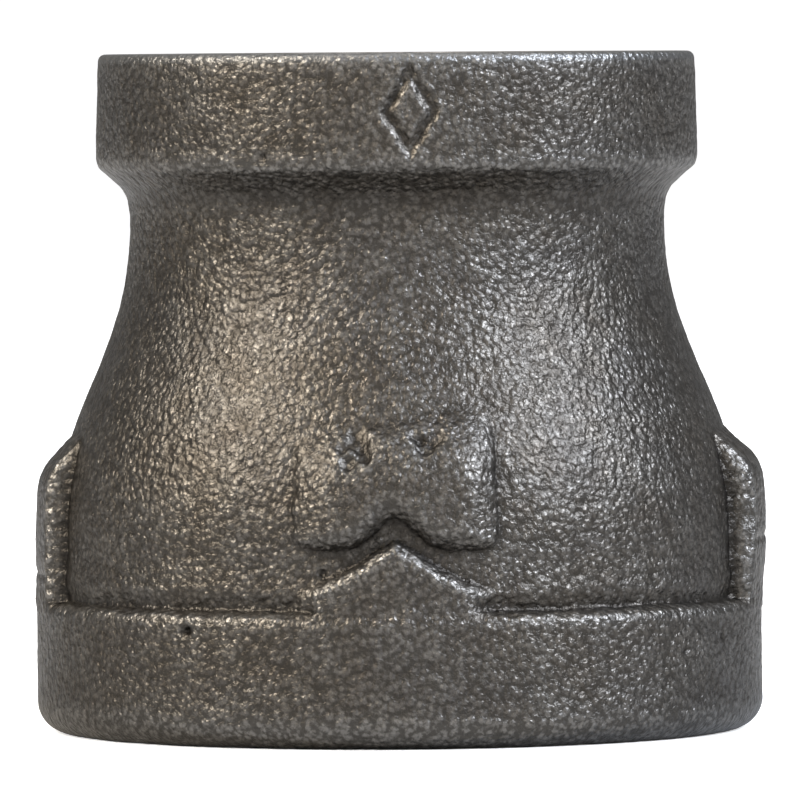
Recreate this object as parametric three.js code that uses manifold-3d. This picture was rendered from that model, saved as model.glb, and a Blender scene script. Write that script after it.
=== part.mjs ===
// Reducing coupling in malleable iron, pipe size 1 x 3/4, class 150: one hollow casting with a
// banded socket at each end, a bell-shaped body between them, and four wrench pads round it.
// Both sockets hold a real taper pipe thread, cut as a helical groove.
// Millimetres, +Z up along the bore, origin at the centre of the large end's face.
import * as THREE from "three";
import { mergeVertices } from "three/addons/utils/BufferGeometryUtils.js";
import Module from "manifold-3d";

const wasm = await Module();
wasm.setup();

// Overall size
const LENGTH = 42.86; // 1-11/16 in, face to face
const OUTER_FACETS = 56;
const BORE_FACETS = 28;

// Large end: a plain band, a generous outer corner and a ledge above it
const LARGE_BAND = { radius: 22.98, width: 8.1, cornerRound: 1.93, ledgeRound: 0.45 };
const LEDGE_FILLET = 0.7;

// Small end: a band with a 45 degree underside
const SMALL_BAND = { radius: 19.05, width: 6.95, topRound: 0.5, cornerRound: 0.55, undercut: 1.5 };
const NECK_FILLET = 1.2;
const NECK_FILLET_DROP = 0.25; // from the end of the underside down to the fillet's centre

// Bell: an S-curve from the straight shoulder up to the neck
const SHOULDER_RADIUS = 21.8;
const NECK_RADIUS = 16.96;
const BELL = { bottom: 12.45, lowerHandle: 20.47, upperHandle: 24.0, top: 31.79 };

// Wrench pads. The front and back ones are notched, with a gusset below that rises into the notch.
// The two side ones run on down to the band. Half widths and heights in the view onto each
const PAD = { halfWidth: 6.7, bottom: 12.3, top: 21.5, notchHalfWidth: 3.0, notchTop: 14.3 };
const GUSSET = { halfWidth: 8.3, apex: 12.85 };
const PAD_SINK = 0.6; // how far gussets and side pads run down into the band
const PAD_FOOT = { inset: 0.3, below: 1, above: 0.4 }; // where the drum of pads leaves the band
const PAD_RADIUS = 23.05;
const PAD_SHOULDER = { start: 15.25, round: 3.6, slope: 3.4 };
const PAD_ROOT = 18.6; // the pads are rooted in the wall from this distance off the axis
const PAD_REACH = 25;

// Taper pipe threads: major radius at the mouth, pitch and depth of full thread
const TAPER = 1 / 32; // change of radius along the axis
const THREAD_DEPTH = 0.76; // in pitches
const FLANK = THREE.MathUtils.degToRad(30);
const THREAD_LEAD = 1.25; // pitches of groove that run outside the mouth
const THREAD_RUN_ON = 0.5; // and past the inner end
const LARGE_THREAD = { major: 16.61, pitch: 25.4 / 11.5, length: 15.2, chamferRadius: 17.45 };
const SMALL_THREAD = { major: 13.285, pitch: 25.4 / 14, length: 13.3, chamferRadius: 14.05 };

// Cored waterway between the threads
const CORE = { largeRadius: 17.35, smallRadius: 13.7, largeTop: 17.6, smallBottom: 28.4 };
const CORE_HANDLE = { lower: 22.2, upper: 24.2 };
const CORE_FLARE = 1.3; // height over which the wall widens from the large thread to the core

const BEYOND = 4; // how far cutters run past the end faces
const OVERCUT = 0.06; // how far thread flanks run past the bore's wall, into the bore
const THREAD_TOOL_BACK = 0.8; // thickness of the thread cutter behind its flanks

// The minor radius of a thread at a distance in from its mouth.
function minorRadius(thread, depth) {
  return thread.major - THREAD_DEPTH * thread.pitch - TAPER * depth;
}

const point = (radius, z) => new THREE.Vector2(radius, z);

// Points of an arc in the profile plane, from one angle to another in degrees.
function arc(radius, z, round, from, to, steps) {
  const [a, b] = [from, to].map(THREE.MathUtils.degToRad);
  return new THREE.EllipseCurve(radius, z, round, round, a, b, b < a).getPoints(steps);
}

// A solid of revolution about +Z from a profile that starts and ends on the axis.
function turned(profile, facets) {
  return new THREE.LatheGeometry(profile, facets).rotateX(Math.PI / 2);
}

// A closed geometry as a manifold-3d solid.
function solid(geometry) {
  const bare = geometry.clone();
  bare.deleteAttribute("normal");
  bare.deleteAttribute("uv");
  const merged = mergeVertices(bare);
  const triVerts = new Uint32Array(merged.index.array);
  const vertProperties = merged.attributes.position.array;
  return new wasm.Manifold(new wasm.Mesh({ numProp: 3, vertProperties, triVerts }));
}

// A manifold-3d solid as a geometry.
function geometryOf(made) {
  const mesh = made.getMesh();
  const geometry = new THREE.BufferGeometry();
  geometry.setAttribute("position", new THREE.BufferAttribute(mesh.vertProperties, 3));
  geometry.setIndex(new THREE.BufferAttribute(mesh.triVerts, 1));
  geometry.computeVertexNormals();
  return geometry;
}

// Outside of the casting, without its pads.
function blank() {
  const { radius: large, width, cornerRound, ledgeRound } = LARGE_BAND;
  const { radius: small, topRound, cornerRound: lip, undercut } = SMALL_BAND;
  const bandBottom = LENGTH - SMALL_BAND.width;
  const diagonal = Math.SQRT1_2;
  const lipEnd = point(small - lip + lip * diagonal, bandBottom + lip - lip * diagonal);
  const bell = new THREE.CubicBezierCurve(
    point(SHOULDER_RADIUS, BELL.bottom),
    point(SHOULDER_RADIUS, BELL.lowerHandle),
    point(NECK_RADIUS, BELL.upperHandle),
    point(NECK_RADIUS, BELL.top),
  );
  // The 45 degree underside runs down from the lip and turns into the neck through a fillet.
  const filletCentre = point(NECK_RADIUS + NECK_FILLET, lipEnd.y - undercut - NECK_FILLET_DROP);
  const profile = [
    point(0, 0),
    ...arc(large - cornerRound, cornerRound, cornerRound, -90, 0, 4),
    ...arc(large - ledgeRound, width - ledgeRound, ledgeRound, 0, 90, 2),
    ...arc(SHOULDER_RADIUS + LEDGE_FILLET, width + LEDGE_FILLET, LEDGE_FILLET, -90, -180, 3),
    ...bell.getPoints(9),
    ...arc(filletCentre.x, filletCentre.y, NECK_FILLET, 180, 135, 2),
    ...arc(small - lip, bandBottom + lip, lip, -45, 0, 1),
    ...arc(small - topRound, LENGTH - topRound, topRound, 0, 90, 2),
    point(0, LENGTH),
  ];
  return solid(turned(profile, OUTER_FACETS));
}

// Everything that the pads and gussets may fill: a drum with a rounded, 45 degree upper shoulder.
function padEnvelope() {
  const { start, round, slope } = PAD_SHOULDER;
  const curve = arc(PAD_RADIUS - round, start, round, 0, 45, 4);
  const slopeStart = curve[curve.length - 1];
  const slopeEnd = point(slopeStart.x - slope, slopeStart.y + slope);
  const profile = [
    point(0, LARGE_BAND.width - PAD_FOOT.below),
    point(LARGE_BAND.radius - PAD_FOOT.inset, LARGE_BAND.width - PAD_FOOT.below),
    point(PAD_RADIUS, LARGE_BAND.width + PAD_FOOT.above),
    ...curve,
    slopeEnd,
    point(0, slopeEnd.y),
  ];
  return solid(turned(profile, OUTER_FACETS));
}

// A front-view outline pushed through the front wall, from PAD_ROOT out to PAD_REACH.
function frontPrism(outline) {
  const shape = new THREE.Shape(outline.map(([x, z]) => point(x, z)));
  const prism = new THREE.ExtrudeGeometry(shape, {
    depth: PAD_REACH - PAD_ROOT,
    bevelEnabled: false,
    steps: 1,
  });
  return prism.rotateX(Math.PI / 2).translate(0, -PAD_ROOT, 0);
}

// The four pads. On the front and back a gusset rises from the band into the pad's notch.
function padsAndGussets() {
  const { halfWidth, bottom, top, notchHalfWidth, notchTop } = PAD;
  const base = LARGE_BAND.width - PAD_SINK;
  const notchedPad = [
    [-halfWidth, bottom],
    [-notchHalfWidth, bottom],
    [0, notchTop],
    [notchHalfWidth, bottom],
    [halfWidth, bottom],
    [halfWidth, top],
    [-halfWidth, top],
  ];
  const gusset = [
    [-GUSSET.halfWidth, base],
    [GUSSET.halfWidth, base],
    [0, GUSSET.apex],
  ];
  const sidePad = [
    [-halfWidth, base],
    [halfWidth, base],
    [halfWidth, top],
    [-halfWidth, top],
  ];
  const sides = [[notchedPad, gusset], [sidePad], [notchedPad, gusset], [sidePad]];
  const pieces = sides.flatMap((outlines, side) =>
    outlines.map((outline) => solid(frontPrism(outline).rotateZ((side * Math.PI) / 2))),
  );
  return pieces.reduce((all, piece) => all.add(piece)).intersect(padEnvelope());
}

// The space inside: a chamfered taper bore at each end and the cored bell between them.
function waterway() {
  const deepLarge = LARGE_THREAD.length;
  const deepSmall = LENGTH - SMALL_THREAD.length;
  const largeMouth = chamferEnd(LARGE_THREAD);
  const smallMouth = chamferEnd(SMALL_THREAD);
  const core = new THREE.CubicBezierCurve(
    point(CORE.largeRadius, CORE.largeTop),
    point(CORE.largeRadius, CORE_HANDLE.lower),
    point(CORE.smallRadius, CORE_HANDLE.upper),
    point(CORE.smallRadius, CORE.smallBottom),
  );
  const profile = [
    point(0, -BEYOND),
    point(LARGE_THREAD.chamferRadius + BEYOND, -BEYOND),
    largeMouth,
    point(minorRadius(LARGE_THREAD, deepLarge), deepLarge),
    point(CORE.largeRadius, deepLarge + CORE_FLARE),
    ...core.getPoints(6),
    point(minorRadius(SMALL_THREAD, SMALL_THREAD.length), deepSmall),
    point(smallMouth.x, LENGTH - smallMouth.y),
    point(SMALL_THREAD.chamferRadius + BEYOND, LENGTH + BEYOND),
    point(0, LENGTH + BEYOND),
  ];
  return solid(turned(profile, BORE_FACETS));
}

// Where a socket's 45 degree chamfer meets the minor radius, as a radius and a depth.
function chamferEnd(thread) {
  const depth = (thread.chamferRadius - minorRadius(thread, 0)) / (1 - TAPER);
  return point(minorRadius(thread, depth), depth);
}

// The centre line of a thread groove: a right-hand conical helix that narrows with depth.
class ThreadHelix extends THREE.Curve {
  constructor(thread, turns, lead) {
    super();
    Object.assign(this, { thread, turns, lead });
  }
  getPoint(t, target = new THREE.Vector3()) {
    const angle = 2 * Math.PI * this.turns * t;
    const depth = this.thread.pitch * this.turns * t - this.lead;
    const radius = this.thread.major - TAPER * depth;
    return target.set(radius * Math.cos(angle), radius * Math.sin(angle), depth);
  }
  // Equal steps of the parameter are equal turns, which keeps the steps on the bore's own facets.
  getUtoTmapping(u) {
    return u;
  }
  // Every section stands in a plane through the axis: first axis outwards, second downwards.
  computeFrenetFrames(steps) {
    const frames = { tangents: [], normals: [], binormals: [] };
    for (let i = 0; i <= steps; i++) {
      const angle = (2 * Math.PI * this.turns * i) / steps;
      frames.tangents.push(new THREE.Vector3(-Math.sin(angle), Math.cos(angle), 0));
      frames.normals.push(new THREE.Vector3(Math.cos(angle), Math.sin(angle), 0));
      frames.binormals.push(new THREE.Vector3(0, 0, -1));
    }
    return frames;
  }
}

// The groove of a thread whose mouth is at z = 0 and which runs up into the part.
function threadGroove(thread) {
  const { pitch, length } = thread;
  const lead = THREAD_LEAD * pitch;
  const turns = Math.ceil((length + lead) / pitch + THREAD_RUN_ON);
  const flankDepth = THREAD_DEPTH * pitch + OVERCUT;
  const mouthHalf = flankDepth * Math.tan(FLANK);
  const inside = flankDepth + THREAD_TOOL_BACK;
  const section = new THREE.Shape(
    [
      [0, 0],
      [-flankDepth, mouthHalf],
      [-inside, mouthHalf],
      [-inside, -mouthHalf],
      [-flankDepth, -mouthHalf],
    ].map(([x, y]) => point(x, y)),
  );
  return new THREE.ExtrudeGeometry(section, {
    extrudePath: new ThreadHelix(thread, turns, lead),
    steps: turns * BORE_FACETS,
    bevelEnabled: false,
  });
}

// The same groove seen from the other end: half a turn about X keeps a right-hand thread right-hand.
function smallThreadGroove() {
  return threadGroove(SMALL_THREAD).rotateX(Math.PI).translate(0, 0, LENGTH);
}

function castingGeometry() {
  const made = blank()
    .add(padsAndGussets())
    .subtract(waterway())
    .subtract(solid(threadGroove(LARGE_THREAD)))
    .subtract(solid(smallThreadGroove()));
  return geometryOf(made);
}

const blackIron = new THREE.MeshStandardMaterial({
  name: "black_malleable_iron",
  color: 0x4b4845,
  roughness: 0.5,
  metalness: 0.8,
});

const casting = new THREE.Mesh(castingGeometry(), blackIron);
casting.name = "coupling_casting";

const coupling = new THREE.Group();
coupling.add(casting);

export default coupling;
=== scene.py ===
"""The looks of the reducing coupling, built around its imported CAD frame.

One fine, closed mesh stands for the faceted casting. Its outside is a grid of rows along the
section and columns round the axis, with the wrench pads, gussets, mark, pits and sand grain as
real relief. Its bore is a coarser grid whose rows follow the pipe threads' helices.
Sizes are millimetres until the vertices are written, in metres, at the end.
"""

import itertools
import math

import bpy
import numpy as np
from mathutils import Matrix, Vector


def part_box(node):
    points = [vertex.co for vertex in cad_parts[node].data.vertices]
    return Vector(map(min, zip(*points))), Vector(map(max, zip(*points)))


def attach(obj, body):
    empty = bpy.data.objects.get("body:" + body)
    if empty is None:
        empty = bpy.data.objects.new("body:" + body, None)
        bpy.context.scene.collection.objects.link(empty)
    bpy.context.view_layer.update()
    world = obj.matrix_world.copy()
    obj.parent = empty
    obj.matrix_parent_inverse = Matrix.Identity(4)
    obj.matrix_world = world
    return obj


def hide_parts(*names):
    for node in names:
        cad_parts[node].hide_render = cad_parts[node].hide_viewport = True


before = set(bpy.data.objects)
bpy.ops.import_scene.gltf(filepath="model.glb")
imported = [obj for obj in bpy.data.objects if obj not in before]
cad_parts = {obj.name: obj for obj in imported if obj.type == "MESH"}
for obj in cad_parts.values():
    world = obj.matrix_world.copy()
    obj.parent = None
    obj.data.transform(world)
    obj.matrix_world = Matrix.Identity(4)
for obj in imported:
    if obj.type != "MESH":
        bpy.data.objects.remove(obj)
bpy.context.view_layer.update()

MM = 0.001
CASTING = "coupling_casting"

# ---------------------------------------------------------------- sizes, in millimetres

low, high = (np.array(corner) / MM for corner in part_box(CASTING))
LENGTH = high[2] - low[2]
PAD_RADIUS = (high[0] - low[0]) / 2

LARGE_BAND_RADIUS = 22.98
LARGE_CORNER_ROUND = 1.93
SMALL_BAND_RADIUS = 19.05
SMALL_TOP_ROUND = 0.5
SHOULDER_RADIUS = 21.8
NECK_RADIUS = 16.96
BELL_BOTTOM = 12.45
BELL_TOP = 31.79
BELL_HANDLES = (24.0, 20.47)  # heights of the S-curve's inner control points, upper and lower

# The band's rounded upper edge, the crease behind it, a low bead and the wall of the bell
CREASE = (21.72, 8.5)
LEDGE = [
    (22.98, 7.6),
    (22.94, 7.92),
    (22.8, 8.17),
    (22.46, 8.36),
    (22.0, 8.46),
    CREASE,
    (21.76, 8.95),
    (21.86, 9.25),
    (21.92, 9.55),
    (21.92, 9.85),
    (21.87, 10.3),
    (SHOULDER_RADIUS, 11.3),
]
LEDGE_LUMPS = (0.8, 0.11)  # size and height of the lumps along the crease
LEDGE_LUMPS_REACH = 1.2  # how far above and below the crease they fade out
# The neck's fillet, the 45 degree underside of the small band and its lower corner
UNDER_BAND = [
    (NECK_RADIUS, 32.7),
    (17.1, 33.7),
    (17.45, 34.35),
    (18.45, 35.3),
    (18.9, 35.65),
    (SMALL_BAND_RADIUS, 36.15),
    (SMALL_BAND_RADIUS, 36.8),
]
PROFILE_SMOOTHING = 0.12
BARREL = 0.12  # the small band leans in by this much at its top

# Threads: the radius of the roots at the mouth, the pitch and the length of each socket
TAPER = 1 / 32
THREAD_DEPTH = 0.76  # in pitches
THREAD_FLANK = math.tan(math.radians(60))
ROOT_FLAT = 0.03  # in pitches
RUN_OUT = 2.0  # pitches over which a groove fades at its inner end
LARGE_THREAD = {"major": 16.61, "pitch": 25.4 / 11.5, "length": 15.2, "chamfer": 17.45, "phase": -0.25}
SMALL_THREAD = {"major": 13.285, "pitch": 25.4 / 14, "length": 13.3, "chamfer": 14.05, "phase": 0.25}
CORE_LARGE_RADIUS = 17.35
CORE_SMALL_RADIUS = 13.7
CORE_LARGE_TOP = 17.6
CORE_SMALL_BOTTOM = 28.4
CORE_HANDLES = (22.2, 24.2)
CORE_FLARE = 1.3  # height over which the wall widens from the large thread to the core
CORE_SMOOTHING = 0.2
CORE_ROW_STEP = 0.35

# Radii on an end face where the outside's fine columns meet the bore's coarser ones
FACE_RINGS_BOTTOM = (20.2, 19.4)
FACE_RINGS_TOP = (17.5, 16.7)

# Wrench pads, round the axis from the front one. The upper shoulder of a pad starts to fall away
# at the height knee, over the length soft, down a slope; lean raises the knee to the pad's right.
# A pad with a bottom ends there, over a notch, and one with a seam runs on down to the band.
PAD_HALF_WIDTH = 6.72
PAD_SIDE_WALLS = (3.3, 2.4)  # width of the rounding at the left and right of a front or back pad
SIDE_PAD_WALLS = (0.8, 0.8)  # and at the edges of the two side pads
PAD_LOWER_WALL = 1.4  # and at the lower edge of a front or back pad
PAD_CORNER = 0.7  # rounding of the lower corners, in widths of the walls
NOTCH_HALF_WIDTH = 1.8
PADS_TOP = 23.0  # above every pad
PAD_WOBBLE = ((1.1, 0.14), (0.4, 0.08))  # sizes and heights of the unevenness of their outlines
PADS = [
    {"out": 0.0, "knee": 18.35, "soft": 2.0, "slope": 1.25, "lean": 0.08, "bottom": 12.25, "notch": 2.0},
    {"out": 0.3, "knee": 17.0, "soft": 0.9, "slope": 1.3, "lean": 0.0, "seam": 12.2},
    {"out": 0.0, "knee": 17.3, "soft": 0.9, "slope": 1.2, "lean": -0.05, "bottom": 12.2, "notch": 1.9},
    {"out": 0.08, "knee": 16.4, "soft": 1.0, "slope": 1.0, "lean": 0.04, "seam": 10.1},
]

# Under the front and back pads stands a vee whose slopes flatten towards its feet. The two side
# pads run on down to the band instead, past a shallow seam.
VEE = {
    "apex": 13.0,
    "slope": 0.635,
    "knee": 3.7,
    "foot_slope": 0.316,
    "radius": 22.75,
    "wall": 0.7,
    "foot": 9.6,
}
SEAM = {"depth": 0.11, "width": 0.25}

# A generic lozenge pressed into the small band, a little to the right of the front pad
MARK = {"azimuth": 3.2, "z": 39.3, "half_width": 1.5, "half_height": 2.4, "groove": 0.3, "depth": 0.26}

# Blow holes and pits: azimuth in degrees from the front pad, height, radius and depth
PITS = [
    (-6.3, 19.1, 0.85, 0.45),
    (-5.0, 18.3, 0.75, 0.4),
    (-7.3, 17.7, 0.6, 0.35),
    (-8.6, 18.6, 0.4, 0.3),
    (3.6, 19.3, 0.5, 0.25),
    (4.9, 18.7, 0.8, 0.4),
    (6.9, 19.2, 0.6, 0.3),
    (-34.4, 7.3, 0.4, 0.6),
    (-25.5, 36.45, 0.4, 0.28),
    (62.0, 6.3, 0.3, 0.25),
    (51.5, 5.6, 0.28, 0.2),
    (-12.0, 10.9, 0.35, 0.25),
    (118.0, 25.5, 0.4, 0.3),
    (151.0, 5.2, 0.35, 0.35),
    (203.0, 39.0, 0.3, 0.25),
    (236.0, 15.5, 0.4, 0.25),
]

# Relief of the cast skin: scale of each kind of lump and how far it stands up
WAVE = (9.0, 0.05)
LUMPS = (2.4, 0.03)
GRAIN = (0.64, 0.026)
SKIN_SEED = 71
CORE_SEED = 5

# ---------------------------------------------------------------- grid density

COLUMNS = 832
BORE_EVERY = 4  # the bore has one column for each of this many outside
PAD_COLUMN_CROWDING = 0.75
PAD_ROW_CROWDING = 0.6
PAD_ROWS = (7.3, 20.8)  # heights between which the rows lie closer together
ROW_STEP = 0.2
HOLLOW_REACH = (3, 7)  # cells over which the near and the wider mean radius are taken
THREAD_ROWS = 14  # for each pitch


# ---------------------------------------------------------------- curves in the section plane


def arc(radius, z, size, start, stop, steps=24):
    """Points of an arc about (radius, z), from one angle to another in degrees."""
    angle = np.radians(np.linspace(start, stop, steps))
    return np.stack([radius + size * np.cos(angle), z + size * np.sin(angle)], axis=1)


def bezier(a, b, c, d, steps=80):
    """Points of a cubic Bezier curve."""
    t = np.linspace(0, 1, steps)[:, None]
    a, b, c, d = (np.array(p, float) for p in (a, b, c, d))
    return a * (1 - t) ** 3 + 3 * b * t * (1 - t) ** 2 + 3 * c * t**2 * (1 - t) + d * t**3


def lengths(points):
    """Distance along a line to each of its points."""
    steps = np.linalg.norm(np.diff(points, axis=0), axis=1)
    return np.concatenate([[0], np.cumsum(steps)])


def resample(points, step, crowding=None):
    """Points along a line about a step apart, closer where crowding, a function of z, is above 0."""
    points = np.asarray(points, float)
    along = lengths(points)
    fine = np.linspace(0, along[-1], int(along[-1] / step * 8))
    line = np.stack([np.interp(fine, along, points[:, k]) for k in (0, 1)], axis=1)
    weight = np.ones(len(fine)) if crowding is None else 1 + crowding(line[:, 1])
    count = np.concatenate([[0], np.cumsum((weight[1:] + weight[:-1]) / 2 * np.diff(fine))]) / step
    rows = np.linspace(0, count[-1], int(round(count[-1])) + 1)
    where = np.interp(rows, count, fine)
    return np.stack([np.interp(where, fine, line[:, k]) for k in (0, 1)], axis=1)


def rounded(points, size):
    """A line with its corners eased over about a size, and its ends kept."""
    step = size / 4
    line = resample(points, step)
    reach = 10
    offsets = np.arange(-reach, reach + 1)
    kernel = np.exp(-0.5 * (offsets * step / size) ** 2)
    kernel /= kernel.sum()
    ends = [np.repeat(line[:1], reach, axis=0), line, np.repeat(line[-1:], reach, axis=0)]
    padded = np.concatenate(ends)
    eased = np.stack([np.convolve(padded[:, k], kernel, "valid") for k in (0, 1)], axis=1)
    eased[0], eased[-1] = line[0], line[-1]
    return eased


def barrel_radius(z):
    """How far the small band falls in from its full radius, towards the top."""
    return -BARREL * smooth_step((z - UNDER_BAND[-1][1]) / (LENGTH - UNDER_BAND[-1][1]))


def outer_profile(inner_bottom, inner_top):
    """The outside of the casting's section, from its bottom face out, up and over to its top face."""
    corner = LARGE_BAND_RADIUS - LARGE_CORNER_ROUND
    edge = SMALL_BAND_RADIUS - SMALL_TOP_ROUND
    upper, lower = BELL_HANDLES
    bell = bezier(
        (SHOULDER_RADIUS, BELL_BOTTOM),
        (SHOULDER_RADIUS, lower),
        (NECK_RADIUS, upper),
        (NECK_RADIUS, BELL_TOP),
    )
    side = rounded(np.concatenate([LEDGE, bell, UNDER_BAND]), PROFILE_SMOOTHING)
    barrel = np.linspace(UNDER_BAND[-1][1], LENGTH - SMALL_TOP_ROUND, 9)[1:-1]
    band = [(edge + SMALL_TOP_ROUND + barrel_radius(z), z) for z in barrel]
    return np.concatenate(
        [
            [(inner_bottom, 0.0)],
            arc(corner, LARGE_CORNER_ROUND, LARGE_CORNER_ROUND, -90, 0),
            side,
            band,
            arc(edge + barrel_radius(LENGTH), LENGTH - SMALL_TOP_ROUND, SMALL_TOP_ROUND, 0, 90),
            [(inner_top, LENGTH)],
        ]
    )


# ---------------------------------------------------------------- noise


class GradientNoise:
    """Smooth noise in space, about -1 to 1, the same each run for the same seed."""

    def __init__(self, seed):
        random = np.random.default_rng(seed)
        self.order = random.permutation(256)
        slopes = random.normal(size=(256, 3))
        self.slopes = slopes / np.linalg.norm(slopes, axis=1)[:, None]

    def __call__(self, points):
        cell = np.floor(points).astype(int)
        inside = points - cell
        ease = inside**3 * (inside * (inside * 6 - 15) + 10)
        total = np.zeros(points.shape[:-1])
        for corner in itertools.product((0, 1), repeat=3):
            x, y, z = ((cell[..., k] + corner[k]) & 255 for k in range(3))
            pick = self.order[(self.order[(self.order[x] + y) & 255] + z) & 255]
            reach = inside - np.array(corner)
            weight = np.prod(np.where(np.array(corner) == 1, ease, 1 - ease), axis=-1)
            total += weight * (self.slopes[pick] * reach).sum(axis=-1)
        return total * 1.6


def grain_relief(points, noise):
    """Packed, rounded sand grains: ridged noise whose crests wander."""
    size = GRAIN[0]
    warp = np.stack([noise(points / (size * 1.7) + shift) for shift in (11.3, 27.7, 43.1)], axis=-1)
    a = noise(points / size + 0.35 * warp)
    b = noise(points / (size * 0.62) + 91.7)
    return 0.7 * (1 - 2.2 * np.abs(a)) + 0.55 * b


# ---------------------------------------------------------------- relief of the outside


def smooth_step(value):
    t = np.clip(value, 0, 1)
    return t * t * (3 - 2 * t)


def round_over(value):
    """0 outside an edge to 1 on the flat, steep at the foot and round at the top."""
    t = np.clip(value, 0, 1)
    return np.sqrt(1 - (1 - t) ** 2) * 0.75 + smooth_step(value) * 0.25


def inside_distance(*sides, corner):
    """Distance in from the edge of a shape that lies inside all the sides, with rounded corners."""
    gaps = [np.maximum(corner - side, 0) for side in sides]
    rounding = np.sqrt(sum(gap**2 for gap in gaps))
    nearest = np.minimum.reduce(sides)
    return np.where(rounding > 0, corner - rounding, nearest)


def vee_relief(across, z, base, wobble):
    """Radius of the vee-shaped gusset under a front or back pad."""
    steep = VEE["apex"] - VEE["slope"] * np.sqrt(across**2 + 0.25**2)
    past_knee = np.abs(across) - VEE["knee"]
    shallow = VEE["apex"] - VEE["slope"] * VEE["knee"] - VEE["foot_slope"] * past_knee
    edge = (steep + shallow) / 2 + np.sqrt(((steep - shallow) / 2) ** 2 + 0.15**2)
    foot = smooth_step((edge - VEE["foot"]) / 1.0)
    raised = round_over(((edge - z) * 0.85 + wobble * 0.6) / VEE["wall"])
    return base + np.maximum(VEE["radius"] - base, 0) * raised * foot


def pad_relief(across, z, base, pad, wobble):
    """Radius of a wrench pad, and of the vee under it, where they stand above the base radius."""
    walls = SIDE_PAD_WALLS if "seam" in pad else PAD_SIDE_WALLS
    side = (PAD_HALF_WIDTH - np.abs(across) + wobble) / np.where(across < 0, *walls)
    if "seam" in pad:
        inside = side
    else:
        notch = pad["notch"] * np.exp(-((across / NOTCH_HALF_WIDTH) ** 2))
        lower_slope = notch * across / NOTCH_HALF_WIDTH**2 * 1.1
        above = (z - pad["bottom"] - notch) / np.sqrt(1 + lower_slope**2)
        inside = inside_distance(side, (above + wobble * 0.7) / PAD_LOWER_WALL, corner=PAD_CORNER)
    past_knee = z - pad["knee"] - pad["lean"] * across + 0.7 * wobble
    fall = pad["slope"] * 0.5 * (past_knee + np.sqrt(past_knee**2 + pad["soft"] ** 2))
    out = pad["out"] * smooth_step((z - LEDGE[0][1]) / 5)
    top = np.maximum(PAD_RADIUS + out - fall, base)
    pad_radius = base + (top - base) * round_over(inside)
    if "seam" in pad:
        seam = np.exp(-(((z - pad["seam"] + wobble) / SEAM["width"]) ** 2))
        return np.maximum(pad_radius - SEAM["depth"] * seam, base)
    return np.maximum(pad_radius, vee_relief(across, z, base, wobble))


def add_pads(angle, radius, z, noise):
    """The radius with the four pads and their gussets standing on it."""
    made = radius.copy()
    quarter = math.pi / 2
    for number, pad in enumerate(PADS):
        turn = (angle - number * quarter + math.pi) % (2 * math.pi) - math.pi
        near = (np.abs(turn) < quarter / 2) & (z > LEDGE[0][1]) & (z < PADS_TOP)
        across = PAD_RADIUS * np.sin(turn[near])
        places = np.stack([across, z[near], np.full(across.shape, 7.0 * number)], axis=-1)
        wobble = sum(height * noise(places / size) for size, height in PAD_WOBBLE)
        made[near] = pad_relief(across, z[near], radius[near], pad, wobble)
    return made


def arc_offset(angle, azimuth, radius):
    """Distance round the surface from an azimuth in degrees."""
    turn = (angle - math.radians(azimuth) + math.pi) % (2 * math.pi) - math.pi
    return turn * radius


def mark_relief(angle, z, wobble):
    """Depth of the lozenge groove, with a faint raised lip."""
    across = arc_offset(angle, MARK["azimuth"], SMALL_BAND_RADIUS)
    up = z - MARK["z"]
    half_width, half_height = MARK["half_width"], MARK["half_height"]
    level = np.abs(across) / half_width + np.abs(up) / half_height - 1
    off = np.abs(level) / math.hypot(1 / half_width, 1 / half_height) + wobble
    groove = -MARK["depth"] * (1 - smooth_step(off / (MARK["groove"] * 1.5)))
    lip = 0.05 * np.exp(-(((off - MARK["groove"] * 1.9) / 0.22) ** 2))
    return groove + lip


def pit_relief(angle, radius, z, wobble):
    """Depth of the blow holes and pits, with ragged outlines."""
    depth = np.zeros(z.shape)
    for azimuth, height, size, deep in PITS:
        across = arc_offset(angle, azimuth, radius)
        off = np.hypot(across, z - height) / size + wobble
        depth -= deep * (1 - smooth_step((off - 0.25) / 0.85))
    return depth


def grain_mask(z):
    """1 on the sand-cast skin, less on the dressed edges of the two ends."""
    top = smooth_step((LENGTH - 0.45 - z) / 0.9)
    bottom = 0.5 + 0.5 * smooth_step((z - 0.3) / 1.2)
    return top * bottom


def blurred(grid, reach):
    """A grid averaged over a square of cells, its rows kept at the ends and its columns wrapped."""
    rows, columns = grid.shape
    padded = np.pad(grid, ((reach + 1, reach), (0, 0)), "edge")
    padded = np.pad(padded, ((0, 0), (reach + 1, reach)), "wrap")
    sums = padded.cumsum(axis=0).cumsum(axis=1)
    span = 2 * reach + 1
    total = sums[span:, span:] - sums[:-span, span:] - sums[span:, :-span] + sums[:-span, :-span]
    return total[:rows, :columns] / span**2


def hollowness(radius):
    """Above 0 where the surface is hollow, below 0 at its edges, by the mean radius near by."""
    near, wide = (blurred(blurred(radius, reach), reach) - radius for reach in HOLLOW_REACH)
    return near + 0.5 * wide


def surface_normals(points):
    """Outward normals of a grid of points, rows along the first axis, closed round the second."""
    along = np.gradient(points, axis=0)
    around = np.roll(points, -1, axis=1) - np.roll(points, 1, axis=1)
    normals = np.cross(around, along)
    return normals / np.maximum(np.linalg.norm(normals, axis=-1, keepdims=True), 1e-9)


def on_axis(angle, radius, z):
    """Points from an angle about the axis, counted from -Y towards +X."""
    return np.stack([radius * np.sin(angle), -radius * np.cos(angle), z], axis=-1)


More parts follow.
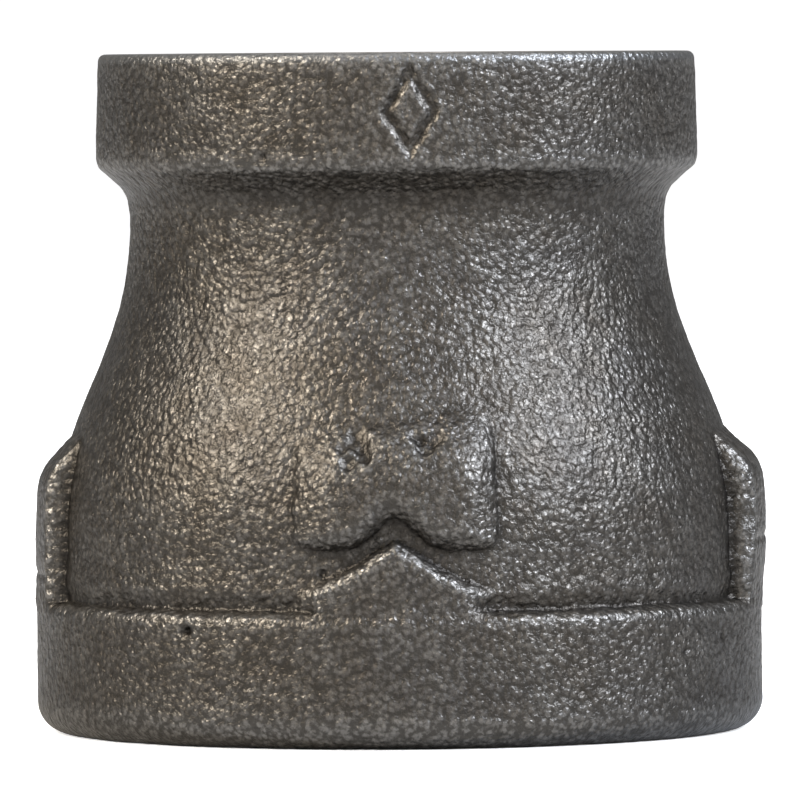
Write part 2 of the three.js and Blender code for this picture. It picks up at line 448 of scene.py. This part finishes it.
def column_angles():
    """Angles of the columns: closer together across the pads, the same in each quarter."""
    fine = np.linspace(-math.pi / 4, math.pi / 4, 4001)
    edge = math.radians(21)
    weight = 1 + PAD_COLUMN_CROWDING * smooth_step((edge - np.abs(fine)) / math.radians(4))
    count = np.concatenate([[0], np.cumsum((weight[1:] + weight[:-1]) / 2)])
    wanted = np.arange(COLUMNS // 4) / (COLUMNS // 4) * count[-1]
    quarter = np.interp(wanted, count, fine)
    return np.concatenate([quarter + turn * math.pi / 2 for turn in range(4)])


def outside(angles, inner_bottom, inner_top):
    """The grid of the outside: its points, and the relief of each for the colour of the skin."""

    def crowding(z):
        start, stop = PAD_ROWS
        return PAD_ROW_CROWDING * smooth_step((z - start) / 0.4) * smooth_step((stop - z) / 0.8)

    profile = resample(outer_profile(inner_bottom, inner_top), ROW_STEP, crowding)
    angle, base = np.meshgrid(angles, profile[:, 0])
    z = np.meshgrid(angles, profile[:, 1])[1]
    noise = GradientNoise(SKIN_SEED)
    radius = add_pads(angle, base, z, noise)
    points = on_axis(angle, radius, z)
    normals = surface_normals(points)

    mask = grain_mask(z)
    rough = noise(points / 0.8)
    wave = WAVE[1] * noise(points / WAVE[0])
    lumps = LUMPS[1] * (noise(points / LUMPS[0] + 5.5) + 0.6 * noise(points / (LUMPS[0] * 0.45) + 3.1))
    grain = GRAIN[1] * grain_relief(points, noise)
    marked = mark_relief(angle, z, 0.12 * rough)
    pitted = pit_relief(angle, radius, z, 0.22 * rough)
    off_faces = smooth_step(z / 0.5) * smooth_step((LENGTH - z) / 0.5)
    off_ledge = np.abs(z - CREASE[1]) / LEDGE_LUMPS_REACH
    ledge = LEDGE_LUMPS[1] * noise(points / LEDGE_LUMPS[0] + 9.1) * (1 - smooth_step(off_ledge))
    relief = (wave * off_faces + (lumps + grain) * mask + marked + pitted + ledge) - 0.03 * off_faces
    points = points + normals * relief[..., None]
    grains = (grain * mask + lumps * mask) / GRAIN[1]
    hollow = hollowness(radius + marked + pitted + ledge)
    return points, np.stack([grains, hollow], axis=-1)


# ---------------------------------------------------------------- the bore


def thread_radius(thread, turn, depth, z):
    """Radius of a tapped socket at an angle in turns, a depth from its mouth and a height."""
    pitch = thread["pitch"]
    major = thread["major"] - TAPER * depth
    minor = major - THREAD_DEPTH * pitch
    along = (z / pitch - turn - thread["phase"] + 0.5) % 1 - 0.5
    off_root = np.maximum(np.abs(along) - ROOT_FLAT / 2, 0) * pitch
    groove = np.maximum(major - THREAD_FLANK * off_root, minor)
    fade = np.clip((thread["length"] - depth) / (RUN_OUT * pitch), 0, 1)
    cut = minor + (groove - minor) * fade
    return np.maximum(cut, thread["chamfer"] - depth)


class MeshBuilder:
    """Collects points, relief values and faces with their material numbers."""

    def __init__(self):
        self.points, self.shades, self.faces, self.kinds = [], [], [], []
        self.count = 0

    def add_points(self, points, shades=None):
        """Adds an array of points and returns their numbers in the same arrangement."""
        shape = points.shape[:-1]
        flat = points.reshape(-1, 3)
        self.points.append(flat)
        self.shades.append(np.zeros((len(flat), 2)) if shades is None else shades.reshape(-1, 2))
        numbers = np.arange(self.count, self.count + len(flat)).reshape(shape)
        self.count += len(flat)
        return numbers

    def add_face(self, corners, kind):
        """Adds a face, leaving out repeated corners, and nothing if fewer than 3 remain."""
        kept = [c for i, c in enumerate(corners) if c != corners[i - 1]]
        if len(kept) >= 3:
            self.faces.append(kept)
            self.kinds.append(kind)

    def join_rings(self, rings, kind):
        """Quads between rows of numbers, closed round each row."""
        rings = np.asarray(rings)
        following = np.roll(rings, -1, axis=1)
        quads = np.stack([rings[:-1], following[:-1], following[1:], rings[1:]], axis=-1)
        quads = quads.reshape(-1, 4).tolist()
        self.faces += quads
        self.kinds += [kind] * len(quads)

    def join_fine_to_coarse(self, fine, coarse, kind, fine_first):
        """Flat faces between a ring and another with one point for each BORE_EVERY of it."""
        total = len(fine)
        for i, start in enumerate(coarse):
            stop = coarse[(i + 1) % len(coarse)]
            run = [fine[(i * BORE_EVERY + k) % total] for k in range(BORE_EVERY + 1)]
            corners = run + [stop, start]
            self.add_face(corners if fine_first else corners[::-1], kind)


SKIN, FACED, CUT, CORED = range(4)  # the casting's kinds of surface, one material each


def ring(angles, radius, z):
    return on_axis(angles, np.full(len(angles), radius), np.full(len(angles), z))


def helical_socket(build, angles, thread, upper_ring, lower_ring, z_low, z_high, mouth_is_low):
    """The wall between two rings, in rows that follow the thread's helix and end on the rings."""
    pitch = thread["pitch"]
    turns = (angles - angles[0]) / (2 * math.pi)
    # The CAD's helix is counted in turns from the +X axis, and from its own socket's mouth.
    compass = (angles - math.pi / 2) / (2 * math.pi)
    mouth = z_low if mouth_is_low else z_high
    lead = (z_low - mouth) / pitch - compass[0] - thread["phase"]
    first = z_low - pitch * (1 + (lead * THREAD_ROWS) % 1 / THREAD_ROWS)
    rows = int(math.ceil((z_high - first) / pitch * THREAD_ROWS)) + 1
    height = first + pitch * (np.arange(rows)[:, None] / THREAD_ROWS + turns)
    margin = pitch / THREAD_ROWS * 0.35
    below, above = height < z_low + margin, height > z_high - margin
    kept = ~(below | above)
    radius = thread_radius(thread, compass, np.abs(height - mouth), height - mouth)
    spin = np.broadcast_to(angles, height.shape)
    numbers = np.where(below, lower_ring, upper_ring)
    numbers[kept] = build.add_points(on_axis(spin[kept], radius[kept], height[kept]))

    # Past the last column, a row runs on as the first column's row one pitch further up.
    wrapped = np.concatenate([numbers[THREAD_ROWS:, 0], np.repeat(upper_ring[0], THREAD_ROWS)])
    following = np.concatenate([numbers[:, 1:], wrapped[:, None]], axis=1)
    corners = np.stack([numbers[1:], following[1:], following[:-1], numbers[:-1]], axis=-1)
    for face in corners.reshape(-1, 4).tolist():
        build.add_face(face, CUT)


def core_profile(z_from, z_to):
    """The cored waterway's section, from the small socket's inner end down to the large one's."""
    small = thread_end_radius(SMALL_THREAD)
    large = thread_end_radius(LARGE_THREAD)
    lower, upper = CORE_HANDLES
    bell = bezier(
        (CORE_SMALL_RADIUS, CORE_SMALL_BOTTOM),
        (CORE_SMALL_RADIUS, upper),
        (CORE_LARGE_RADIUS, lower),
        (CORE_LARGE_RADIUS, CORE_LARGE_TOP),
    )
    flare = [(CORE_LARGE_RADIUS, z_to + CORE_FLARE), (large, z_to)]
    return rounded(np.concatenate([[(small, z_from)], bell, flare]), CORE_SMOOTHING)


def thread_end_radius(thread):
    return thread["major"] - TAPER * thread["length"] - THREAD_DEPTH * thread["pitch"]


def add_bore(build, angles, top_ring, bottom_ring):
    """The two sockets and the waterway between them, down from the ring at the top face."""
    small_end = LENGTH - SMALL_THREAD["length"]
    large_end = LARGE_THREAD["length"]
    mouth_top = build.add_points(ring(angles, SMALL_THREAD["chamfer"], LENGTH))
    mouth_bottom = build.add_points(ring(angles, LARGE_THREAD["chamfer"], 0.0))
    build.join_rings([top_ring, mouth_top], FACED)
    build.join_rings([mouth_bottom, bottom_ring], FACED)

    profile = resample(core_profile(small_end, large_end), CORE_ROW_STEP)
    spin, radius = np.meshgrid(angles, profile[:, 0])
    z = np.meshgrid(angles, profile[:, 1])[1]
    points = on_axis(spin, radius, z)
    noise = GradientNoise(CORE_SEED)
    inner = np.minimum(np.arange(len(profile)), np.arange(len(profile))[::-1])[:, None]
    relief = (0.12 * noise(points / 3.0) + 0.05 * noise(points / 0.9)) * np.clip(inner / 4, 0, 1)
    shades = np.stack([relief * 6, np.zeros(relief.shape)], axis=-1)
    core = build.add_points(points - surface_normals(points) * relief[..., None], shades)
    build.join_rings(core, CORED)
    helical_socket(build, angles, SMALL_THREAD, mouth_top, core[0], small_end, LENGTH, False)
    helical_socket(build, angles, LARGE_THREAD, core[-1], mouth_bottom, 0.0, large_end, True)


# ---------------------------------------------------------------- the mesh


def fine_casting():
    """One closed mesh of the whole casting."""
    angles = column_angles()
    bore_angles = angles[::BORE_EVERY]
    fine_bottom, coarse_bottom = FACE_RINGS_BOTTOM
    fine_top, coarse_top = FACE_RINGS_TOP
    points, shade = outside(angles, fine_bottom, fine_top)
    build = MeshBuilder()
    grid = build.add_points(points, shade)
    build.join_rings(grid, SKIN)
    top = build.add_points(ring(bore_angles, coarse_top, LENGTH))
    bottom = build.add_points(ring(bore_angles, coarse_bottom, 0.0))
    build.join_fine_to_coarse(grid[-1], top, FACED, fine_first=True)
    build.join_fine_to_coarse(grid[0], bottom, FACED, fine_first=False)
    add_bore(build, bore_angles, top, bottom)
    return build


def mesh_object(build, name, materials):
    """A smooth-shaded object from a MeshBuilder, in metres."""
    mesh = bpy.data.meshes.new(name)
    points = np.concatenate(build.points) * MM
    mesh.from_pydata(points.tolist(), [], build.faces)
    for material in materials:
        mesh.materials.append(material)
    mesh.polygons.foreach_set("material_index", build.kinds)
    mesh.polygons.foreach_set("use_smooth", [True] * len(build.faces))
    for attribute, values in zip(("relief", "hollow"), np.concatenate(build.shades).T):
        mesh.attributes.new(attribute, "FLOAT", "POINT").data.foreach_set("value", values.copy())
    mesh.update()
    made = bpy.data.objects.new(name, mesh)
    bpy.context.scene.collection.objects.link(made)
    return made


# ---------------------------------------------------------------- materials

TOOL_RING_PITCH = 0.19  # between the rings that the facing tool leaves
WORN_TOP_EDGE = (LENGTH - 0.62, LENGTH - 0.36)  # heights over which the skin turns to rubbed metal


class Shader:
    """A material's nodes, with short ways to add and link them. Places are given in millimetres."""

    def __init__(self, name):
        self.material = bpy.data.materials.new(name)
        self.material.use_nodes = True
        self.tree = self.material.node_tree
        self.surface = self.tree.nodes["Principled BSDF"]
        place = self.tree.nodes.new("ShaderNodeTexCoord").outputs["Object"]
        scale = self.node("ShaderNodeVectorMath", operation="SCALE")
        scale.inputs["Scale"].default_value = 1 / MM
        self.link(place, scale.inputs[0])
        self.place = scale.outputs[0]

    def node(self, kind, **settings):
        made = self.tree.nodes.new(kind)
        for key, value in settings.items():
            setattr(made, key, value)
        return made

    def link(self, source, target):
        self.tree.links.new(source, target)

    def feed(self, socket, value):
        if isinstance(value, bpy.types.NodeSocket):
            self.link(value, socket)
        else:
            socket.default_value = value

    def noise(self, size, detail=2.0, roughness=0.5, distortion=0.0, place=None):
        """Noise from 0 to 1 with lumps of a size in millimetres."""
        made = self.node("ShaderNodeTexNoise")
        self.link(place or self.place, made.inputs["Vector"])
        made.inputs["Scale"].default_value = 1 / size
        made.inputs["Detail"].default_value = detail
        made.inputs["Roughness"].default_value = roughness
        made.inputs["Distortion"].default_value = distortion
        return made.outputs["Fac"]

    def cells(self, size, place=None):
        """Distance from the nearest of a set of scattered points, in cell sizes."""
        made = self.node("ShaderNodeTexVoronoi", feature="SMOOTH_F1")
        self.link(place or self.place, made.inputs["Vector"])
        made.inputs["Scale"].default_value = 1 / size
        made.inputs["Smoothness"].default_value = 0.35
        return made.outputs["Distance"]

    def math(self, operation, a, b=0.0, clamp=False):
        made = self.node("ShaderNodeMath", operation=operation, use_clamp=clamp)
        self.feed(made.inputs[0], a)
        self.feed(made.inputs[1], b)
        return made.outputs[0]

    def ranged(self, value, from_low, from_high, to_low=0.0, to_high=1.0):
        made = self.node("ShaderNodeMapRange")
        places = ("Value", "From Min", "From Max", "To Min", "To Max")
        for place, number in zip(places, (value, from_low, from_high, to_low, to_high)):
            self.feed(made.inputs[place], number)
        return made.outputs["Result"]

    def mix(self, factor, a, b):
        """A colour between two."""
        made = self.node("ShaderNodeMix", data_type="RGBA")
        self.feed(made.inputs["Factor"], factor)
        for socket, colour in ((made.inputs["A"], a), (made.inputs["B"], b)):
            self.feed(socket, colour if isinstance(colour, bpy.types.NodeSocket) else (*colour, 1.0))
        return made.outputs["Result"]

    def attribute(self, name):
        return self.node("ShaderNodeAttribute", attribute_name=name).outputs["Fac"]

    def bump(self, height, distance, normal=None):
        """A bump whose height of 1 stands a distance in millimetres out of the surface."""
        made = self.node("ShaderNodeBump")
        made.inputs["Distance"].default_value = distance * MM
        self.link(height, made.inputs["Height"])
        if normal is not None:
            self.link(normal, made.inputs["Normal"])
        return made.outputs["Normal"]

    def finish(self, colour, roughness, metallic, normal):
        self.feed(self.surface.inputs["Base Color"], colour)
        self.feed(self.surface.inputs["Roughness"], roughness)
        self.surface.inputs["Metallic"].default_value = metallic
        self.link(normal, self.surface.inputs["Normal"])
        return self.material


def cast_skin():
    """Black malleable iron as cast: oiled oxide on sand grain, with shade painted into the hollows
    between grains and into the casting's creases and recesses.
    """
    shader = Shader("black_iron_cast_skin")
    relief = shader.attribute("relief")
    hollow = shader.attribute("hollow")
    patches = shader.noise(7.0, detail=3.0, roughness=0.6, distortion=0.4)
    blotches = shader.noise(1.6, detail=4.0, roughness=0.6)
    fine = shader.noise(0.24, detail=2.0, roughness=0.55, distortion=0.3)
    grains = shader.cells(0.44)
    oxide = shader.mix(shader.ranged(patches, 0.38, 0.66), (0.112, 0.098, 0.082), (0.103, 0.096, 0.09))
    worn = shader.mix(shader.ranged(relief, -0.6, 2.2, 0.0, 0.8), oxide, (0.19, 0.18, 0.165))
    soiled = shader.mix(shader.ranged(blotches, 0.5, 0.75, 0.0, 0.5), worn, (0.07, 0.058, 0.046))
    rubbed = shader.mix(shader.ranged(hollow, -0.03, -0.28, 0.0, 0.7), soiled, (0.27, 0.26, 0.245))
    between = shader.math("ADD", grains, shader.ranged(fine, 0.3, 0.7, -0.3, 0.3))
    # Painted shade: the colour darkens in the hollows between the sand grains.
    pitted = shader.mix(shader.ranged(between, 0.2, 0.65, 0.0, 0.7), rubbed, (0.03, 0.026, 0.021))
    # Painted shade: the colour darkens where the surface lies hollow, in creases and recesses.
    painted_hollow_shade = shader.mix(shader.ranged(hollow, 0.06, 0.36, 0.0, 0.82), pitted, (0.022, 0.019, 0.016))
    height = shader.node("ShaderNodeSeparateXYZ")
    shader.link(shader.place, height.inputs[0])
    near_top = shader.ranged(height.outputs["Z"], *WORN_TOP_EDGE, 0.0, 0.7)
    colour = shader.mix(near_top, painted_hollow_shade, (0.2, 0.2, 0.198))
    roughness = shader.ranged(shader.noise(0.8, detail=2.0), 0.3, 0.7, 0.29, 0.41)
    normal = shader.bump(shader.math("MULTIPLY", grains, -1.0), 0.1)
    normal = shader.bump(fine, 0.095, normal)
    return shader.finish(colour, roughness, 0.85, normal)


def cored_skin():
    """The rough inside of the waterway, as the sand core left it."""
    shader = Shader("black_iron_cored_skin")
    blotches = shader.noise(1.8, detail=4.0, roughness=0.6)
    colour = shader.mix(shader.ranged(blotches, 0.35, 0.7), (0.075, 0.066, 0.057), (0.035, 0.031, 0.028))
    grains = shader.math("MULTIPLY", shader.cells(0.5), -1.0)
    normal = shader.bump(grains, 0.1)
    normal = shader.bump(shader.noise(0.22, detail=2.0), 0.06, normal)
    return shader.finish(colour, 0.6, 0.35, normal)


def faced_metal():
    """The turned end faces: fine rings left by the tool, dulled by oil and handling."""
    shader = Shader("iron_faced_end")
    split = shader.node("ShaderNodeSeparateXYZ")
    shader.link(shader.place, split.inputs[0])
    squares = [shader.math("MULTIPLY", split.outputs[k], split.outputs[k]) for k in "XY"]
    radius = shader.math("SQRT", shader.math("ADD", *squares))
    wander = shader.math("MULTIPLY", shader.noise(3.0), 0.12)
    phase = shader.math("MULTIPLY", shader.math("ADD", radius, wander), 2 * math.pi / TOOL_RING_PITCH)
    rings = shader.math("SINE", phase)
    stains = shader.noise(1.3, detail=4.0, roughness=0.6, distortion=0.5)
    colour = shader.mix(shader.ranged(stains, 0.4, 0.75), (0.3, 0.29, 0.27), (0.19, 0.175, 0.158))
    roughness = shader.ranged(stains, 0.3, 0.7, 0.34, 0.52)
    normal = shader.bump(rings, 0.006)
    normal = shader.bump(shader.noise(0.15, detail=3.0), 0.012, normal)
    return shader.finish(colour, roughness, 0.85, normal)


def cut_metal():
    """The tapped threads: bright cut iron with chatter, and darker grey where oil lies."""
    shader = Shader("iron_cut_thread")
    stains = shader.noise(1.5, detail=4.0, roughness=0.65)
    colour = shader.mix(shader.ranged(stains, 0.35, 0.68), (0.36, 0.345, 0.325), (0.16, 0.148, 0.132))
    roughness = shader.ranged(stains, 0.3, 0.7, 0.3, 0.48)
    normal = shader.bump(shader.noise(0.35, detail=3.0, roughness=0.6), 0.02)
    return shader.finish(colour, roughness, 0.9, normal)


# ---------------------------------------------------------------- studio

STAGE_FLAT = 1.6  # metres
STAGE_REACH = 3.2
STAGE_HEIGHT = 1.9
STAGE_COLUMNS = 96
FLOOR_GLOW = 0.6
FLOOR_SHADE = (0.45, 0.9)  # to other light, and to the camera


def stage():
    """A pale floor that curves up all round, so that no edge of it shows from any side."""
    rise = STAGE_REACH - STAGE_FLAT
    bend = np.linspace(0, math.pi / 2, 24)
    section = [(STAGE_FLAT * t, 0.0) for t in (0.02, 0.1, 0.3, 0.6)]
    section += [(STAGE_FLAT + rise * math.sin(b), rise * (1 - math.cos(b))) for b in bend]
    section.append((STAGE_REACH, STAGE_HEIGHT))
    spin = np.linspace(0, 2 * math.pi, STAGE_COLUMNS + 1)[:-1]
    build = MeshBuilder()
    rings = [build.add_points(ring(spin, radius, z) / MM) for radius, z in section]
    build.join_rings(np.stack(rings)[:, ::-1], 0)
    build.add_face(rings[0].tolist(), 0)
    material = bpy.data.materials.new("studio_floor")
    material.use_nodes = True
    surface = material.node_tree.nodes["Principled BSDF"]
    surface.inputs["Roughness"].default_value = 0.9
    surface.inputs["Emission Color"].default_value = (1.0, 1.0, 1.0, 1.0)
    # The floor looks white, but throws little light back at the coupling.
    nodes, links = material.node_tree.nodes, material.node_tree.links
    seen = nodes.new("ShaderNodeLightPath").outputs["Is Camera Ray"]
    shade = nodes.new("ShaderNodeMix")
    shade.inputs["A"].default_value, shade.inputs["B"].default_value = FLOOR_SHADE
    links.new(seen, shade.inputs["Factor"])
    links.new(shade.outputs["Result"], surface.inputs["Base Color"])
    glow = nodes.new("ShaderNodeMath")
    glow.operation = "MULTIPLY"
    glow.inputs[1].default_value = FLOOR_GLOW
    links.new(seen, glow.inputs[0])
    links.new(glow.outputs["Value"], surface.inputs["Emission Strength"])
    mesh_object(build, "studio_floor", [material])


WORLD_LIGHT = 0.42
AIM = Vector((0.0, 0.0, 0.021))

# Soft boxes: azimuth from the camera's side, elevation, distance and size in metres, watts, colour
LIGHTS = {
    "soft_left": (-66, 36, 1.1, (0.3, 0.6), 14.0, (1.0, 0.915, 0.79)),
    "soft_right": (66, 36, 1.1, (0.3, 0.6), 17.0, (0.86, 0.94, 1.08)),
    "soft_front": (4, 16, 1.2, (0.5, 0.4), 2.7, (1.0, 0.98, 0.95)),
    "soft_top": (180, 82, 1.2, (0.9, 0.9), 4.0, (1.0, 0.99, 0.97)),
}


def direction(azimuth, elevation):
    """Unit vector towards an azimuth from -Y towards +X, and an elevation, both in degrees."""
    a, e = math.radians(azimuth), math.radians(elevation)
    return Vector((math.sin(a) * math.cos(e), -math.cos(a) * math.cos(e), math.sin(e)))


def add_lights():
    world = bpy.data.worlds.new("studio_world")
    world.use_nodes = True
    background = world.node_tree.nodes["Background"]
    background.inputs["Color"].default_value = (1.0, 1.0, 1.0, 1.0)
    background.inputs["Strength"].default_value = WORLD_LIGHT
    bpy.context.scene.world = world
    for name, (azimuth, elevation, distance, size, watts, colour) in LIGHTS.items():
        light = bpy.data.lights.new(name, "AREA")
        light.shape = "RECTANGLE"
        light.size, light.size_y = size
        light.energy = watts
        light.color = colour
        lamp = bpy.data.objects.new(name, light)
        lamp.location = AIM + direction(azimuth, elevation) * distance
        lamp.rotation_euler = (AIM - lamp.location).to_track_quat("-Z", "Y").to_euler()
        bpy.context.scene.collection.objects.link(lamp)


CAMERA_DISTANCE = 0.7
CAMERA_HEIGHT = 0.0444
CAMERA_AZIMUTH = 0.7
CAMERA_AIM_HEIGHT = 0.02083
CAMERA_ROLL = -0.4
CAMERA_LENS = 497.0
CAMERA_SHIFT = 0.0021  # of the picture's width, so the coupling stands a little left of its middle


def add_camera():
    """A long lens at the height of the coupling's top, looking slightly down."""
    camera = bpy.data.objects.new("camera", bpy.data.cameras.new("camera"))
    camera.data.lens = CAMERA_LENS
    camera.data.sensor_width = 36.0
    camera.data.shift_x = CAMERA_SHIFT
    camera.data.clip_start = 0.01
    camera.data.clip_end = 20.0
    level = direction(CAMERA_AZIMUTH, 0) * CAMERA_DISTANCE
    camera.location = (level.x, level.y, CAMERA_HEIGHT)
    aim = Vector((0.0, 0.0, CAMERA_AIM_HEIGHT)) - camera.location
    turn = aim.to_track_quat("-Z", "Y").to_euler()
    turn.rotate_axis("Z", math.radians(CAMERA_ROLL))
    camera.rotation_euler = turn
    bpy.context.scene.collection.objects.link(camera)
    bpy.context.scene.camera = camera


add_camera()
add_lights()
stage()
materials = [cast_skin(), faced_metal(), cut_metal(), cored_skin()]
casting = mesh_object(fine_casting(), "coupling_casting_fine", materials)
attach(casting, "root")
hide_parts(CASTING)

bpy.context.scene.view_settings.view_transform = "Standard"
